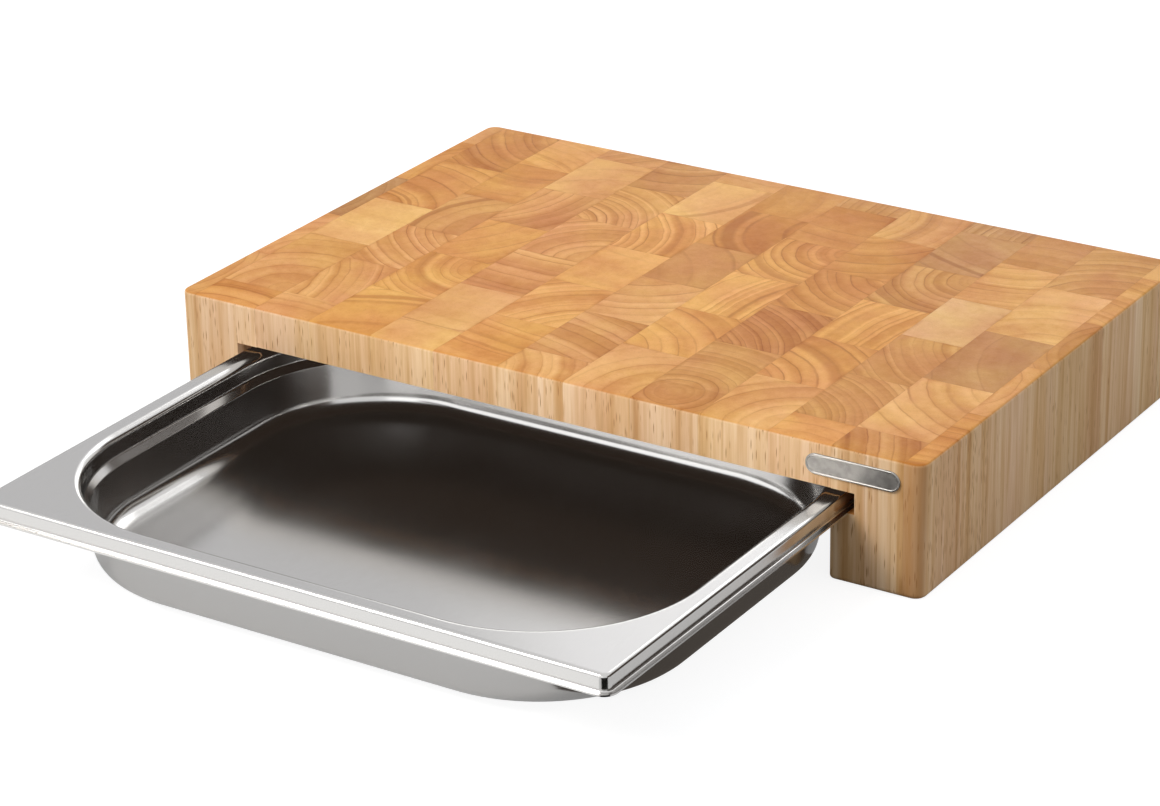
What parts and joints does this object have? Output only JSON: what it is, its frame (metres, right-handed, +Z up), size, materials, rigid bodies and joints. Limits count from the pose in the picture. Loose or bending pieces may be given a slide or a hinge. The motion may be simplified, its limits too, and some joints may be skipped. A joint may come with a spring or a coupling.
{
  "type": "cutting board with slide-out tray",
  "caption": "End-grain wooden cutting board on two side legs, with a rectangular steel tray whose rim slides in grooves under the top and pulls out to the front.",
  "frame": {"origin": "on the table, midway along and across the whole object with its tray pulled out as at rest", "axes": "+Y from the tray's front edge to the back of the board, +X to the right seen from the front, +Z up"},
  "size_m": [0.396, 0.4608, 0.064],
  "materials": {
    "end_grain_wood": "oiled, sanded smooth",
    "tray_steel": "satin, fine brushed",
    "plate_metal": "satin with a darker sunk field"
  },
  "bodies": {
    "board": {"left_edge_strip": "end_grain_wood", "left_leg_strip": "end_grain_wood", "slab_strip_1": "end_grain_wood", "slab_strip_2": "end_grain_wood", "slab_strip_3": "end_grain_wood", "slab_strip_4": "end_grain_wood", "slab_strip_5": "end_grain_wood", "slab_strip_6": "end_grain_wood", "slab_strip_7": "end_grain_wood", "slab_strip_8": "end_grain_wood", "slab_strip_9": "end_grain_wood", "right_leg_strip": "end_grain_wood", "right_edge_strip": "end_grain_wood", "name_plate": "plate_metal"},
    "tray": {"tray": "tray_steel"}
  },
  "joints": [
    {"name": "tray_slide", "type": "slide", "parent": "board", "child": "tray", "axis": [0, -1, 0], "range_m": [-0.1948, 0.08]}
  ]
}
